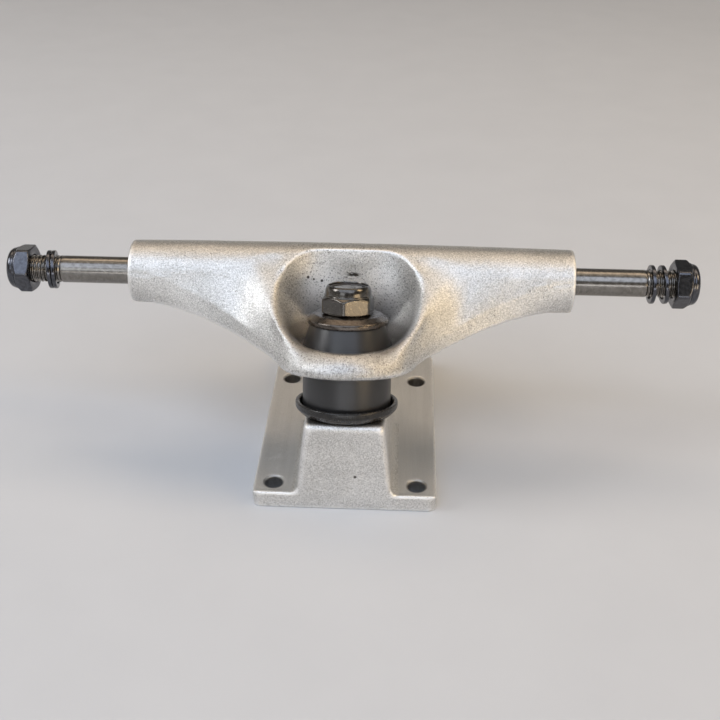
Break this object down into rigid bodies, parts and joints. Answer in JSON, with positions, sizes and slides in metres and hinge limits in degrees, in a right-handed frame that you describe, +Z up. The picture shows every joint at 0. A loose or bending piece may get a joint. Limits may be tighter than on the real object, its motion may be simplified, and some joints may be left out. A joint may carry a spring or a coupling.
{
  "type": "skateboard truck",
  "caption": "Skateboard truck: cast hanger with a steel axle, rocking on urethane bushings round a leaning kingpin, on a flat baseplate with a rear pivot cup.",
  "frame": {"origin": "underside of the baseplate, at the centre of its four deck bolts", "axes": "+X along the axle, +Y from the kingpin side to the pivot side, +Z up from the deck side"},
  "size_m": [0.2005, 0.0769, 0.0632],
  "materials": {
    "hanger_aluminium": "raw cast and tumbled, fine speckle",
    "baseplate_aluminium": "raw cast, fine grain, smoother plate top",
    "kingpin_steel": "dark zinc, oiled",
    "axle_steel": "blackened, lightly scratched",
    "lock_nut_black": "black oxide, glossy",
    "kingpin_nut_steel": "dark polished",
    "speed_ring_black": "black oxide",
    "bottom_washer_black": "glossy black",
    "top_washer_bronze": "dark bronze brown, satin",
    "bushing_urethane": "glossy black urethane",
    "pivot_cup_urethane": "matte black urethane",
    "nylon_insert": "dark nylon"
  },
  "bodies": {
    "base": {"baseplate": "baseplate_aluminium", "pivot_cup": "pivot_cup_urethane", "kingpin": "kingpin_steel", "bottom_washer": "bottom_washer_black", "bottom_bushing": "bushing_urethane", "top_bushing": "bushing_urethane", "top_washer": "top_washer_bronze"},
    "hanger": {"hanger": "hanger_aluminium", "axle": "axle_steel"},
    "kingpin_nut_lock": {"kingpin_nut_insert": "nylon_insert"},
    "kingpin_nut": {"kingpin_nut": "kingpin_nut_steel"},
    "axle_nut_left_lock": {"axle_nut_insert_left": "nylon_insert"},
    "axle_nut_left": {"axle_nut_left": "lock_nut_black"},
    "speed_ring_left_inner": {"speed_ring_left_inner": "speed_ring_black"},
    "speed_ring_left_outer": {"speed_ring_left_outer": "speed_ring_black"},
    "axle_nut_right_lock": {"axle_nut_insert_right": "nylon_insert"},
    "axle_nut_right": {"axle_nut_right": "lock_nut_black"},
    "speed_ring_right_inner": {"speed_ring_right_inner": "speed_ring_black"},
    "speed_ring_right_outer": {"speed_ring_right_outer": "speed_ring_black"}
  },
  "joints": [
    {"name": "hanger_steer", "type": "hinge", "parent": "base", "child": "hanger", "pos_m": [0, 0.031, 0.0135], "axis": [0, -0.8576, 0.5143], "range_deg": [-12, 12], "stiffness_Nm_per_rad": 40, "deforming": ["bottom_bushing", "top_bushing"]},
    {"name": "kingpin_nut_lift", "type": "slide", "parent": "base", "child": "kingpin_nut_lock", "axis": [0, 0.3173, 0.9483], "range_m": [0, 0.00424]},
    {"name": "kingpin_nut_turn", "type": "hinge", "parent": "kingpin_nut_lock", "child": "kingpin_nut", "pos_m": [0, -0.0188, 0.02435], "axis": [0, 0.3173, 0.9483], "range_deg": [0, 1443]},
    {"name": "axle_nut_left_travel", "type": "slide", "parent": "hanger", "child": "axle_nut_left_lock", "axis": [-1, 0, 0], "range_m": [-0.00106, 0.00424]},
    {"name": "axle_nut_left_turn", "type": "hinge", "parent": "axle_nut_left_lock", "child": "axle_nut_left", "pos_m": [0, 0.00892, 0.05362], "axis": [-1, 0, 0], "range_deg": [-361, 1443]},
    {"name": "speed_ring_left_inner_slide", "type": "slide", "parent": "hanger", "child": "speed_ring_left_inner", "axis": [-1, 0, 0], "range_m": [-0.0219, 0]},
    {"name": "speed_ring_left_outer_slide", "type": "slide", "parent": "hanger", "child": "speed_ring_left_outer", "axis": [-1, 0, 0], "range_m": [0, 0.002]},
    {"name": "axle_nut_right_travel", "type": "slide", "parent": "hanger", "child": "axle_nut_right_lock", "axis": [1, 0, 0], "range_m": [-0.00106, 0.00424]},
    {"name": "axle_nut_right_turn", "type": "hinge", "parent": "axle_nut_right_lock", "child": "axle_nut_right", "pos_m": [0, 0.00892, 0.05362], "axis": [1, 0, 0], "range_deg": [-361, 1443]},
    {"name": "speed_ring_right_inner_slide", "type": "slide", "parent": "hanger", "child": "speed_ring_right_inner", "axis": [1, 0, 0], "range_m": [-0.0221, 0.0007]},
    {"name": "speed_ring_right_outer_slide", "type": "slide", "parent": "hanger", "child": "speed_ring_right_outer", "axis": [1, 0, 0], "range_m": [-0.0007, 0.0003]}
  ],
  "couplings": [
    {"joint": "kingpin_nut_turn", "follows": "kingpin_nut_lift", "rad_per_m": 5937.1},
    {"joint": "axle_nut_left_turn", "follows": "axle_nut_left_travel", "rad_per_m": 5937.1},
    {"joint": "axle_nut_right_turn", "follows": "axle_nut_right_travel", "rad_per_m": 5937.1}
  ]
}
